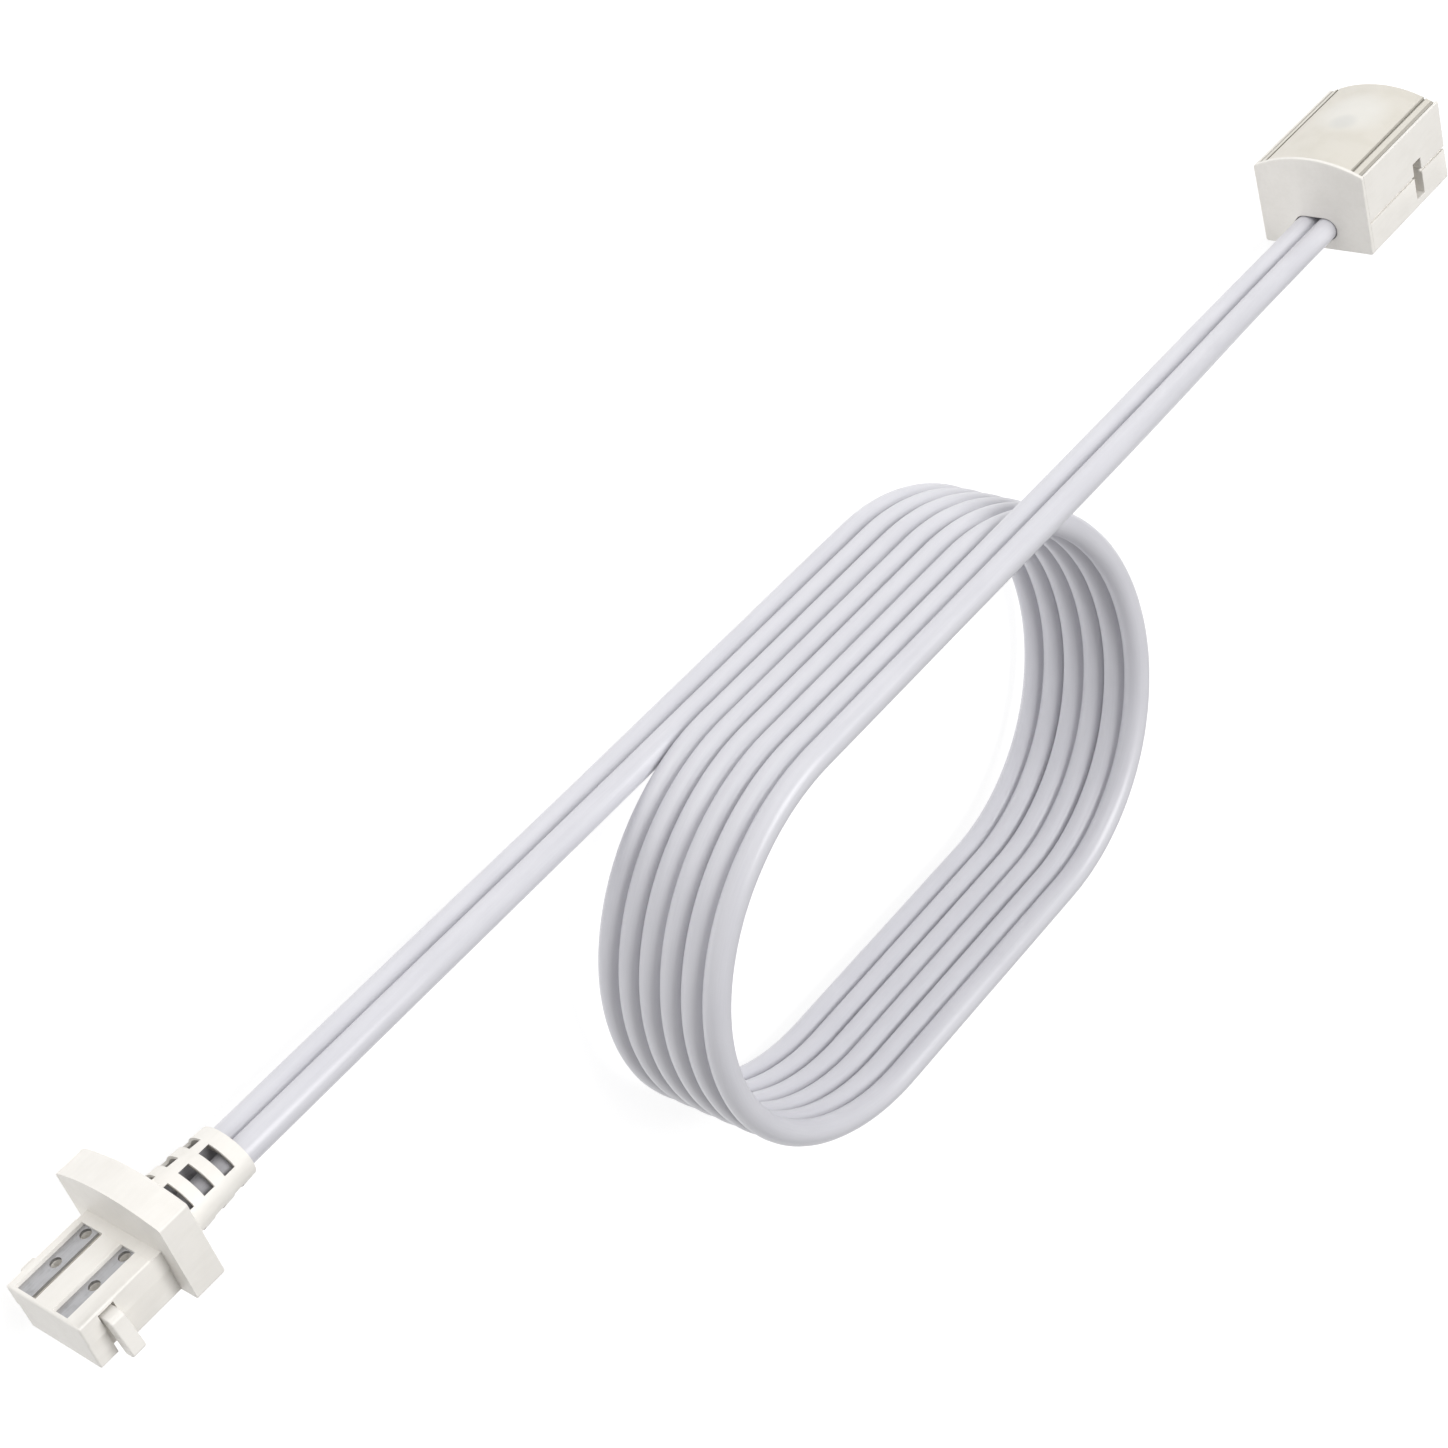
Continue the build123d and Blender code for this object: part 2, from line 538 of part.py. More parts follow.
def descent(x, share):
    """Point of the socket lead, a share of the way from the coil's last run to the socket."""
    y = COIL_RUN_Y + share * (SOCKET_ENTRY[1] - COIL_RUN_Y)
    z = LAST_LEVEL + share * (SOCKET_ENTRY[2] - LAST_LEVEL)
    return (x, y, z)


PLUG_LEAD = [
    PLUG_EXIT,
    (-71.0, PLUG_EXIT[1], PLUG_EXIT[2]),
    (-41.0, COIL_RUN_Y, FIRST_LEVEL),
    (COIL_LEFT, COIL_RUN_Y, FIRST_LEVEL),
]
SOCKET_LEAD = [
    (COIL_RIGHT, COIL_RUN_Y, LAST_LEVEL),
    (26.0, COIL_RUN_Y, LAST_LEVEL),
    descent(46.0, 0.36),
    descent(67.0, 0.88),
    (79.4, SOCKET_ENTRY[1], SOCKET_ENTRY[2]),
    SOCKET_ENTRY,
]


def corner_radii(points):
    """Radius at each corner: 0.45 of the shorter run over the tangent of half the turn."""
    radii = []
    for before, corner, after in zip(points, points[1:], points[2:]):
        come = Vector(*corner) - Vector(*before)
        leave = Vector(*after) - Vector(*corner)
        half_turn = radians(come.get_angle(leave)) / 2
        radii.append(0.45 * min(come.length, leave.length) / tan(half_turn))
    return radii


def lead_tube(name, points):
    """Plain cord solid along straight runs and tangent arcs."""
    radii = corner_radii(points)
    path = FilletPolyline(*points, radius=radii)
    start = Plane(origin=points[0], x_dir=(0, 1, 0), z_dir=(1, 0, 0))
    section = start * upright_slot(CORD_WIDTH, CORE_DIAMETER)
    tube = sweep(section, path=path)
    expected = section.area * path.length
    print(f"{name}: length {path.length:.1f} mm, radii {[round(r, 1) for r in radii]}, "
          f"volume over section x length {tube.volume / expected:.4f}")
    return tube, path.length


def coil_turn_length():
    """Length of one turn: two straight runs and two climbing round ends."""
    half_end = hypot(pi * COIL_RADIUS, END_RISE)
    return 4 * COIL_HALF_RUN + 2 * half_end


def climbing_end(ring, x_span, far_level, near_level):
    """Part of the ring between two planes that slope from the far run to the near one."""
    slope = (near_level - far_level) / (2 * COIL_RADIUS)
    beyond = COIL_RADIUS + CORD_WIDTH
    low = (far_level + near_level) / 2 - slope * beyond
    high = (far_level + near_level) / 2 + slope * beyond
    y_far = COIL_CENTRE_Y - beyond
    y_near = COIL_CENTRE_Y + beyond
    stack = COIL_TURNS * CORD_WIDTH
    corners = [(y_far, low), (y_near, high), (y_near, high + stack), (y_far, low + stack)]
    return ring & along_x(make_face(Polyline(*corners, close=True)), *x_span)


def cord_coil():
    """Outer shape of the coil: level runs, and round ends that each climb half a pitch."""
    half = CORE_DIAMETER / 2
    stack = COIL_TURNS * CORD_WIDTH
    outer = SlotCenterToCenter(2 * COIL_HALF_RUN, 2 * (COIL_RADIUS + half))
    inner = SlotCenterToCenter(2 * COIL_HALF_RUN, 2 * (COIL_RADIUS - half))
    ring = Pos(COIL_CENTRE_X, COIL_CENTRE_Y, 0) * extrude(outer - inner, amount=stack + CORD_WIDTH)
    reach = COIL_RADIUS + CORD_WIDTH
    right = climbing_end(ring, (COIL_RIGHT, COIL_RIGHT + reach), END_RISE, 0)
    left = climbing_end(ring, (COIL_LEFT - reach, COIL_LEFT), END_RISE, 2 * END_RISE)
    x_span = (COIL_LEFT, COIL_RIGHT)
    far_y = COIL_CENTRE_Y - COIL_RADIUS
    near_run = block(x_span, (COIL_RUN_Y - half, COIL_RUN_Y + half), (0, stack + CORD_WIDTH))
    far_run = block(x_span, (far_y - half, far_y + half), (END_RISE, END_RISE + stack))
    return near_run + right + far_run + left


# ---------------------------------------------------------------- assembly
def plug_nodes():
    """Every node of the plug, in the plug's frame."""
    left, right = CONTACT_Z
    return {
        "plug_housing": plug_housing(),
        "contact_carrier": contact_carrier(),
        "contact_left": plug_contact(left),
        "contact_right": plug_contact(right),
        "latch_arm_left": latch_arm(-1),
        "latch_arm_right": latch_arm(1),
        "strain_relief": strain_relief(),
        "cord_end_plug": cord_end_plug(),
        "plug_strand_left": plug_strand(left),
        "plug_strand_right": plug_strand(right),
    }


def socket_nodes():
    """Every node of the socket, in the socket's frame."""
    nodes = {
        "end_cap": end_cap(),
        "base_shell": base_shell(),
        "upper_shell": upper_shell(),
        "lens": lens(),
        "circuit_board": circuit_board(),
        "led_chip": on_board(LED_SIZE, LED_X),
        "resistor": on_board(RESISTOR_SIZE, RESISTOR_X),
        "cord_clamp": cord_clamp(),
        "cord_end_socket": cord_end_socket(),
    }
    for name, side, z in (("left", -1, CONTACT_Z[0]), ("right", 1, CONTACT_Z[1])):
        nodes[f"contact_foot_{name}"] = contact_foot(z)
        nodes[f"contact_leaf_{name}"] = contact_leaf(z)
        nodes[f"socket_strand_{name}"] = socket_strand(side)
        nodes[f"solder_joint_{name}"] = solder_joint(side)
    return nodes


def main():
    os.makedirs("parts", exist_ok=True)
    nodes = {name: PLUG_PLACE * shape for name, shape in plug_nodes().items()}
    nodes.update({name: SOCKET_PLACE * shape for name, shape in socket_nodes().items()})
    nodes["cord_plug_lead"], plug_length = lead_tube("cord_plug_lead", PLUG_LEAD)
    nodes["cord_socket_lead"], socket_length = lead_tube("cord_socket_lead", SOCKET_LEAD)
    nodes["cord_coil"] = cord_coil()
    coil_length = COIL_TURNS * coil_turn_length() + 2 * COIL_HALF_RUN
    print(f"free cord {plug_length + coil_length + socket_length:.1f} mm, coil {coil_length:.1f} mm")
    for name, shape in nodes.items():
        export_step(shape, f"parts/{name}.step")
    print(len(nodes), "nodes")


main()
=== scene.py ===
"""Looks of a low-voltage extension cord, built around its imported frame.

A plug with two contact strips, a flat twin cord wound in a flat-sided coil, and a socket under a
frosted lens. Metres, in the frame's own axes: +X from the plug to the socket, +Y the side of the
contacts and the lens, +Z up. The object lies on its side.
"""

import logging
from dataclasses import dataclass
from enum import Enum
from math import cos, pi, radians, tan
from typing import Dict, List, Mapping, Optional, Sequence, Tuple, Union

import bmesh
import bpy
import numpy as np
from mathutils import Matrix, Vector


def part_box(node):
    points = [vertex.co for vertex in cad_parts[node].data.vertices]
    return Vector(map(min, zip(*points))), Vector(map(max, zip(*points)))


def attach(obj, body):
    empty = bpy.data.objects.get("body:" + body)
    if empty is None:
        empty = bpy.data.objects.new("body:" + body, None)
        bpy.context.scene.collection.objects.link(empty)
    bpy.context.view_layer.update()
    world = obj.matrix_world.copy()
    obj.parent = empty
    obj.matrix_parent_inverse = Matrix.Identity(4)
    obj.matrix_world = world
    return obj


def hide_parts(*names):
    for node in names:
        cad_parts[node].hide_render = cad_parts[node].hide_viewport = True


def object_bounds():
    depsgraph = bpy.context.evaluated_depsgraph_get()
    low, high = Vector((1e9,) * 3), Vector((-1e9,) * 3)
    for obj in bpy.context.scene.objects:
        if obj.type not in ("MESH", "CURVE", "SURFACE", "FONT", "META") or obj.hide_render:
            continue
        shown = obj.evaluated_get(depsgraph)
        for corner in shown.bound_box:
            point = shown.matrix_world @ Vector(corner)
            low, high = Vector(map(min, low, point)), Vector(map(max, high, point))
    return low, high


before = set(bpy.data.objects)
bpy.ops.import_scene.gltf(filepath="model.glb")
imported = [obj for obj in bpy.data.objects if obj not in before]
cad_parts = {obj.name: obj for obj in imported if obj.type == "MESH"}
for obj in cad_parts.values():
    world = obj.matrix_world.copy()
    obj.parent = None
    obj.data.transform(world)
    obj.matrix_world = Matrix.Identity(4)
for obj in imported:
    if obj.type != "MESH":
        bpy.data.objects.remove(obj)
CAD_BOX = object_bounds()

LOG = logging.getLogger("extension_cord")
MM = 0.001
BODY = "cord_set"
UV_NAME = "along_around"
CORNER_CREASE = radians(50)
SPLINE_ORDER = 3

Colour = Tuple[float, float, float]
Point = Tuple[float, float, float]

WHITE: Colour = (1.0, 1.0, 1.0)


# ---------------------------------------------------------------- shader building
class Wire:
    """An output socket of a material, on which arithmetic adds Math nodes."""

    def __init__(self, book: "NodeBook", socket: bpy.types.NodeSocket) -> None:
        """Keeps the socket and the book that it belongs to.

        Args:
            book: the material's node tree.
            socket: the node's output.
        """
        self.book = book
        self.socket = socket

    def _math(self, operation: str, first: "Value", second: "Value") -> "Wire":
        """Adds one Math node.

        Args:
            operation: what the node does.
            first: its first value.
            second: its second value.

        Returns:
            The result.
        """
        return self.book.add("ShaderNodeMath", {"operation": operation}, {0: first, 1: second})

    def __add__(self, other: "Value") -> "Wire":
        """Sum."""
        return self._math("ADD", self, other)

    def __radd__(self, other: "Value") -> "Wire":
        """Sum, with the wire on the right."""
        return self._math("ADD", other, self)

    def __sub__(self, other: "Value") -> "Wire":
        """Difference."""
        return self._math("SUBTRACT", self, other)

    def __rsub__(self, other: "Value") -> "Wire":
        """Difference, with the wire on the right."""
        return self._math("SUBTRACT", other, self)

    def __mul__(self, other: "Value") -> "Wire":
        """Product."""
        return self._math("MULTIPLY", self, other)

    def __rmul__(self, other: "Value") -> "Wire":
        """Product, with the wire on the right."""
        return self._math("MULTIPLY", other, self)

    def __lt__(self, other: "Value") -> "Wire":
        """1 where the wire is under the other value, else 0."""
        return self._math("LESS_THAN", self, other)

    def __gt__(self, other: "Value") -> "Wire":
        """1 where the wire is over the other value, else 0."""
        return self._math("GREATER_THAN", self, other)


Value = Union[Wire, float, Sequence[float]]


class Pattern(Enum):
    """Kinds of procedural pattern."""

    NOISE = "ShaderNodeTexNoise"
    CELLS = "ShaderNodeTexVoronoi"


class NodeBook:
    """The node tree of one material, with a Principled shader at its end."""

    def __init__(self, name: str) -> None:
        """Starts a material of that name."""
        self.material = bpy.data.materials.new(name)
        self.material.use_nodes = True
        self.tree = self.material.node_tree
        self.shader = self.tree.nodes["Principled BSDF"]

    def add(
        self,
        kind: str,
        settings: Optional[Mapping[str, object]] = None,
        inputs: Optional[Mapping[Union[int, str], Value]] = None,
        output: Union[int, str] = 0,
    ) -> Wire:
        """Adds any node.

        Args:
            kind: the node's type.
            settings: its properties, set before its sockets.
            inputs: values or wires for its sockets, by name or number.
            output: which socket to hand on.

        Returns:
            The wire that leaves the node.
        """
        made = self.tree.nodes.new(kind)
        for key, value in (settings or {}).items():
            setattr(made, key, value)
        for key, value in (inputs or {}).items():
            self.feed(made.inputs[key], value)
        return Wire(self, made.outputs[output])

    def feed(self, socket: bpy.types.NodeSocket, value: Value) -> None:
        """Links a wire to a socket, or sets the socket's own value."""
        if isinstance(value, Wire):
            self.tree.links.new(value.socket, socket)
        elif socket.type == "RGBA" and len(value) == 3:
            socket.default_value = (*value, 1.0)
        else:
            socket.default_value = value

    def set(self, **values: Value) -> None:
        """Feeds the shader's sockets; an underscore in a name stands for a space."""
        for key, value in values.items():
            self.feed(self.shader.inputs[key.replace("_", " ")], value)

    def place(self, centre: Point = (0.0, 0.0, 0.0), stretch: Point = (1.0, 1.0, 1.0)) -> Wire:
        """Object coordinates from a centre, stretched along each axis.

        Args:
            centre: the place that becomes the origin.
            stretch: the factor of each axis; under one draws a pattern out along it.

        Returns:
            The coordinates.
        """
        here = self.add("ShaderNodeTexCoord", output="Object")
        shift = tuple(-c * s for c, s in zip(centre, stretch))
        return self.add("ShaderNodeMapping", inputs={"Vector": here, "Location": shift, "Scale": stretch})

    def surface(self, stretch: Point = (1.0, 1.0, 1.0)) -> Wire:
        """The piece's own UV map, in metres along and around it, stretched."""
        here = self.add("ShaderNodeUVMap", {"uv_map": UV_NAME})
        return self.add("ShaderNodeMapping", inputs={"Vector": here, "Scale": stretch})

    def texture(
        self, where: Wire, grain: float, kind: Pattern = Pattern.NOISE, detail: float = 2.0
    ) -> Wire:
        """A pattern from 0 to 1.

        Args:
            where: the coordinates that it lies on.
            grain: about how far across its features are, in metres.
            kind: noise or cells.
            detail: how many finer layers the noise has.

        Returns:
            The pattern's level.
        """
        if kind is Pattern.CELLS:
            return self.add(kind.value, inputs={"Vector": where, "Scale": 1 / grain}, output="Distance")
        return self.add(kind.value, inputs={"Vector": where, "Scale": 1 / grain, "Detail": detail})

    def axis(self, where: Wire, index: int) -> Wire:
        """One coordinate of a vector."""
        return self.add("ShaderNodeSeparateXYZ", inputs={0: where}, output=index)

    def blend(self, share: Value, first: Value, second: Value) -> Wire:
        """Mixes two colours.

        Args:
            share: 0 for the first colour, 1 for the second.
            first: the first colour.
            second: the second colour.

        Returns:
            The mixed colour.
        """
        settings = {"data_type": "RGBA"}
        return self.add("ShaderNodeMix", settings, {0: share, 6: first, 7: second}, output=2)

    def soften(self, value: Wire, low: float, high: float) -> Wire:
        """Turns a value into a smooth step.

        Args:
            value: what is measured.
            low: the level that gives 0.
            high: the level that gives 1.

        Returns:
            The step.
        """
        settings = {"interpolation_type": "SMOOTHSTEP"}
        return self.add("ShaderNodeMapRange", settings, {"Value": value, "From Min": low, "From Max": high})

    def relief(self, height: Wire, depth: float, under: Optional[Wire] = None) -> Wire:
        """Adds a bump.

        Args:
            height: the pattern that gives its height.
            depth: its full depth in metres.
            under: another bump that it lies on.

        Returns:
            The surface's normal.
        """
        inputs: Dict[Union[int, str], Value] = {"Height": height, "Distance": depth, "Strength": 1.0}
        if under is not None:
            inputs["Normal"] = under
        return self.add("ShaderNodeBump", inputs=inputs)


# ---------------------------------------------------------------- finishes
@dataclass(frozen=True)
class PaintedShadeHollow:
    """Where the inside of an oval taper lies, which is painted in shade: its start, its length and the
    middle of its wall.
    """

    start: Point
    length: float
    root: Tuple[float, float]
    tip: Tuple[float, float]

    def share(self, book: NodeBook) -> Wire:
        """One inside the middle of the wall, nought outside.

        A place is inside when (y / half height) squared plus (z / half width) squared is under one;
        the two inverse squares run evenly from the root to the tip.
        """
        here = book.place(self.start)
        x, y, z = (book.axis(here, index) for index in range(3))
        along = x * (1 / self.length)
        rates = [
            1 / root ** 2 + along * (1 / tip ** 2 - 1 / root ** 2)
            for root, tip in zip(self.root, self.tip)
        ]
        return (y * y * rates[0] + z * z * rates[1]) < 1.0


@dataclass(frozen=True)
class MouldedPlastic:
    """Satin moulded plastic: spark-eroded grain, slow clouding and faint flow streaks, with painted shade
    inside a hollow when one is given.
    """

    name: str
    colour: Colour
    shade: Colour
    roughness: float = 0.42
    grain: float = 0.11 * MM
    grain_depth: float = 0.0022 * MM
    cloud: float = 3.2 * MM
    streak: float = 0.5 * MM
    streak_stretch: Point = (0.22, 1.0, 1.0)
    speck: float = 0.6 * MM
    speck_origin: Point = (1.0, 2.0, 3.0)
    refraction: float = 1.49
    painted_shade_hollow: Optional[PaintedShadeHollow] = None
    # colour of the painted shade inside the hollow
    hollow_painted_shade: Colour = (0.30, 0.285, 0.26)

    def material(self) -> bpy.types.Material:
        """Builds the material."""
        book = NodeBook(self.name)
        here = book.place()
        cloud = book.texture(here, self.cloud, detail=3.0)
        grain = book.texture(here, self.grain, detail=3.0)
        pits = book.texture(here, 2.6 * self.grain, Pattern.CELLS)
        streak = book.texture(book.place(stretch=self.streak_stretch), self.streak)
        share = book.soften(0.65 * cloud + 0.35 * streak, 0.36, 0.66)
        specks = book.texture(book.place(self.speck_origin), self.speck)
        speck = book.soften(specks, 0.72, 0.80)
        colour = book.blend(share, self.colour, self.shade)
        # painted shade: dark brown inside the hollow, where shade falls inside the sleeve
        if self.painted_shade_hollow is not None:
            colour = book.blend(self.painted_shade_hollow.share(book), colour, self.hollow_painted_shade)
        dull = tuple(0.93 * c for c in self.shade)
        relief = book.relief(grain, self.grain_depth, book.relief(pits, 0.5 * self.grain_depth))
        book.set(
            Base_Color=book.blend(0.35 * speck, colour, dull),
            Roughness=self.roughness + 0.10 * (grain - 0.5) + 0.08 * (cloud - 0.5),
            IOR=self.refraction,
            Normal=relief,
        )
        return book.material


@dataclass(frozen=True)
class SoftJacket:
    """Soft extruded jacket: fine lines along the cord, orange peel and faint clouding."""

    name: str
    colour: Colour
    shade: Colour
    roughness: float = 0.46
    line: float = 0.16 * MM
    peel: float = 0.24 * MM
    cloud: float = 2.4 * MM
    scuff: float = 0.55 * MM
    refraction: float = 1.52

    def material(self) -> bpy.types.Material:
        """Builds the material on the cord's own map: metres along, metres around."""
        book = NodeBook(self.name)
        lines = book.texture(book.surface((0.03, 1.0, 1.0)), self.line, detail=3.0)
        peel = book.texture(book.surface(), self.peel, detail=3.0)
        cloud = book.texture(book.surface((0.3, 1.0, 1.0)), self.cloud, detail=3.0)
        scuffs = book.texture(book.surface((0.12, 1.0, 1.0)), self.scuff)
        scuff = book.soften(scuffs, 0.66, 0.80)
        share = book.soften(0.6 * cloud + 0.4 * lines, 0.36, 0.66)
        colour = book.blend(share, self.colour, self.shade)
        dull = tuple(0.9 * c for c in self.shade)
        relief = book.relief(peel, 0.0035 * MM, book.relief(lines, 0.0022 * MM))
        book.set(
            Base_Color=book.blend(0.4 * scuff, colour, dull),
            Roughness=self.roughness + 0.12 * (peel - 0.5) + 0.16 * scuff,
            IOR=self.refraction,
            Normal=relief,
        )
        return book.material


@dataclass(frozen=True)
class PlatedMetal:
    """Rolled and plated sheet metal: lines along the strip, pores and a mild tarnish."""

    name: str
    colour: Colour
    tarnish: Colour
    roughness: float = 0.34
    along: Point = (0.05, 1.0, 1.0)
    line: float = 0.09 * MM
    cloud: float = 0.9 * MM
    pore: float = 0.12 * MM
    pore_origin: Point = (0.5, 0.7, 0.9)

    def material(self) -> bpy.types.Material:
        """Builds the material."""
        book = NodeBook(self.name)
        lines = book.texture(book.place(stretch=self.along), self.line, detail=4.0)
        cloud = book.texture(book.place(), self.cloud, detail=4.0)
        pores = book.soften(book.texture(book.place(self.pore_origin), self.pore), 0.64, 0.76)
        share = book.soften(0.6 * cloud + 0.4 * lines, 0.42, 0.72)
        book.set(
            Base_Color=book.blend(share, self.colour, self.tarnish),
            Metallic=1.0,
            Roughness=self.roughness + 0.20 * (lines - 0.5) + 0.12 * share + 0.15 * pores,
            Normal=book.relief(lines, 0.0025 * MM),
        )
        return book.material


@dataclass(frozen=True)
class Board:
    """Glossy white solder mask with weave showing through, and tinned rings round the wires."""

    name: str
    mask: Colour
    tin: Colour
    pads: Tuple[Tuple[float, float], ...]
    pad_radius: float = 1.15 * MM
    weave: float = 0.35 * MM
    cloud: float = 2.0 * MM

    def material(self) -> bpy.types.Material:
        """Builds the material."""
        book = NodeBook(self.name)
        here = book.place()
        weave = book.texture(here, self.weave, Pattern.CELLS)
        cloud = book.texture(here, self.cloud)
        pad: Value = 0.0
        for x, z in self.pads:
            from_x = book.axis(here, 0) - x
            from_z = book.axis(here, 2) - z
            span = from_x * from_x + from_z * from_z
            pad = (span < self.pad_radius ** 2) + pad
        mask = book.blend(0.4 * cloud, self.mask, tuple(0.88 * c for c in self.mask))
        book.set(
            Base_Color=book.blend(pad, mask, self.tin),
            Metallic=pad,
            Roughness=0.22 + 0.12 * weave,
            Normal=book.relief(weave, 0.004 * MM),
        )
        return book.material


@dataclass(frozen=True)
class LightChip:
    """White moulded package with a round well of yellow phosphor."""

    name: str
    centre: Point
    package: Colour
    phosphor: Colour
    well: float
    grain: float = 0.05 * MM

    def material(self) -> bpy.types.Material:
        """Builds the material."""
        book = NodeBook(self.name)
        here = book.place(self.centre)
        x, z = book.axis(here, 0), book.axis(here, 2)
        span = x * x + z * z
        well = 1.0 - book.soften(span, (0.92 * self.well) ** 2, self.well ** 2)
        grains = book.texture(here, self.grain)
        yellow = book.blend(grains, self.phosphor, tuple(0.85 * c for c in self.phosphor))
        book.set(
            Base_Color=book.blend(well, self.package, yellow),
            Roughness=0.5 - 0.25 * well + 0.1 * (grains - 0.5),
            Normal=book.relief(grains, 0.003 * MM),
        )
        return book.material


@dataclass(frozen=True)
class ChipResistor:
    """Black ceramic body between two tinned ends."""

    name: str
    centre: Point
    half_body: float
    grain: float = 0.06 * MM
    ceramic: Colour = (0.03, 0.03, 0.032)
    ceramic_grain: Colour = (0.07, 0.07, 0.07)
    tin: Colour = (0.72, 0.72, 0.72)

    def material(self) -> bpy.types.Material:
        """Builds the material."""
        book = NodeBook(self.name)
        here = book.place(self.centre)
        x = book.axis(here, 0)
        end = (x * x) > self.half_body ** 2
        grains = book.texture(here, self.grain)
        black = book.blend(grains, self.ceramic, self.ceramic_grain)
        book.set(
            Base_Color=book.blend(end, black, self.tin),
            Metallic=end,
            Roughness=0.38 + 0.2 * (grains - 0.5),
            Normal=book.relief(grains, 0.002 * MM),
        )
        return book.material


@dataclass(frozen=True)
class FrostedLens:
    """Milky moulded lens with painted light and shade: a painted pool of light over the chip, a painted
    shadow over the resistor, and darker painted shade lines along its long edges.
    """

    name: str
    colour: Colour
    shade: Colour
    roughness: float
    clearness: float
    chip: Point
    resistor: Point
    groove: float
    # painted light: a bright patch over the chip
    chip_reach: float = 5.4 * MM
    chip_light_share: float = 0.62
    chip_glow: Colour = (0.92, 0.91, 0.87)
    # painted shadow: a grey patch over the resistor, shifted along X
    resistor_reach: float = 2.1 * MM
    resistor_shadow_share: float = 0.42
    resistor_shadow: Colour = (0.66, 0.66, 0.64)
    patch_core: float = 0.15
    # painted shade: dark lines in the edge colour along the groove and the joint with the rim
    line_gap: float = 1.0 * MM
    line_half: float = 0.22 * MM
    shade_line_share: float = 0.75
    edge: Colour = (0.40, 0.38, 0.33)
    frost: float = 0.10 * MM
    cloud: float = 3.0 * MM
    refraction: float = 1.46

    def patch(self, book: NodeBook, centre: Point, reach: float) -> Wire:
        """Soft round patch over a place, for the painted light over the chip and the painted shadow over
        the resistor.

        Args:
            book: the lens's node tree.
            centre: the place under the patch.
            reach: how far the patch goes, in metres.

        Returns:
            One at the patch's middle, nought at its reach.
        """
        here = book.place(centre)
        x, z = book.axis(here, 0), book.axis(here, 2)
        return 1.0 - book.soften(x * x + z * z, (self.patch_core * reach) ** 2, reach ** 2)

    def band(self, book: NodeBook, middle: float) -> Wire:
        """Two painted shade lines along the lens, each as far from its middle line.

        Args:
            book: the lens's node tree.
            middle: how far each line's own middle is from the lens's, in metres.

        Returns:
            One in the lines, nought outside.
        """
        z = book.axis(book.place(self.chip), 2)
        away = z * z
        inner, outer = middle - self.line_half, middle + self.line_half
        return (away > inner ** 2) * (away < outer ** 2)

    def material(self) -> bpy.types.Material:
        """Builds the material."""
        book = NodeBook(self.name)
        here = book.place()
        frost = book.texture(here, self.frost, detail=3.0)
        cloud = book.texture(here, self.cloud, detail=3.0)
        colour = book.blend(book.soften(cloud, 0.35, 0.65), self.colour, self.shade)
        # painted light: a pool of light over the chip
        glow = self.chip_light_share * self.patch(book, self.chip, self.chip_reach)
        colour = book.blend(glow, colour, self.chip_glow)
        # painted shadow over the resistor
        shadow = self.resistor_shadow_share * self.patch(book, self.resistor, self.resistor_reach)
        colour = book.blend(shadow, colour, self.resistor_shadow)
        # painted shade lines along the groove and the joint with the rim
        lines = self.band(book, self.groove) + self.band(book, self.groove + self.line_gap)
        colour = book.blend(self.shade_line_share * lines, colour, self.edge)
        book.set(
            Base_Color=colour,
            Roughness=self.roughness + 0.08 * (frost - 0.5),
            IOR=self.refraction,
            Transmission_Weight=self.clearness,
            Normal=book.relief(frost, 0.0015 * MM),
        )
        return book.material


@dataclass(frozen=True)
class Floor:
    """Pale matt floor of the studio."""

    name: str = "studio_floor"
    colour: Colour = (0.34, 0.34, 0.34)
    glow: float = 0.82
    cloud: float = 40 * MM

    def material(self) -> bpy.types.Material:
        """Builds the material."""
        book = NodeBook(self.name)
        cloud = book.texture(book.place(), self.cloud)
        book.set(
            Base_Color=book.blend(0.3 * cloud, self.colour, tuple(0.99 * c for c in self.colour)),
            Roughness=0.9,
            Specular_IOR_Level=0.1,
            Emission_Color=WHITE,
            Emission_Strength=self.glow,
        )
        return book.material


# ---------------------------------------------------------------- meshes
def new_piece(
    name: str, mesh: bpy.types.Mesh, material: bpy.types.Material
) -> bpy.types.Object:
    """Makes an object at the origin from a mesh in place, and rides it on the cord set's body.

    Args:
        name: the piece's name.
        mesh: its mesh, in the frame's axes.
        material: its finish.

    Returns:
        The piece.
    """
    piece = bpy.data.objects.new(name, mesh)
    bpy.context.scene.collection.objects.link(piece)
    piece.data.materials.clear()
    piece.data.materials.append(material)
    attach(piece, BODY)
    return piece


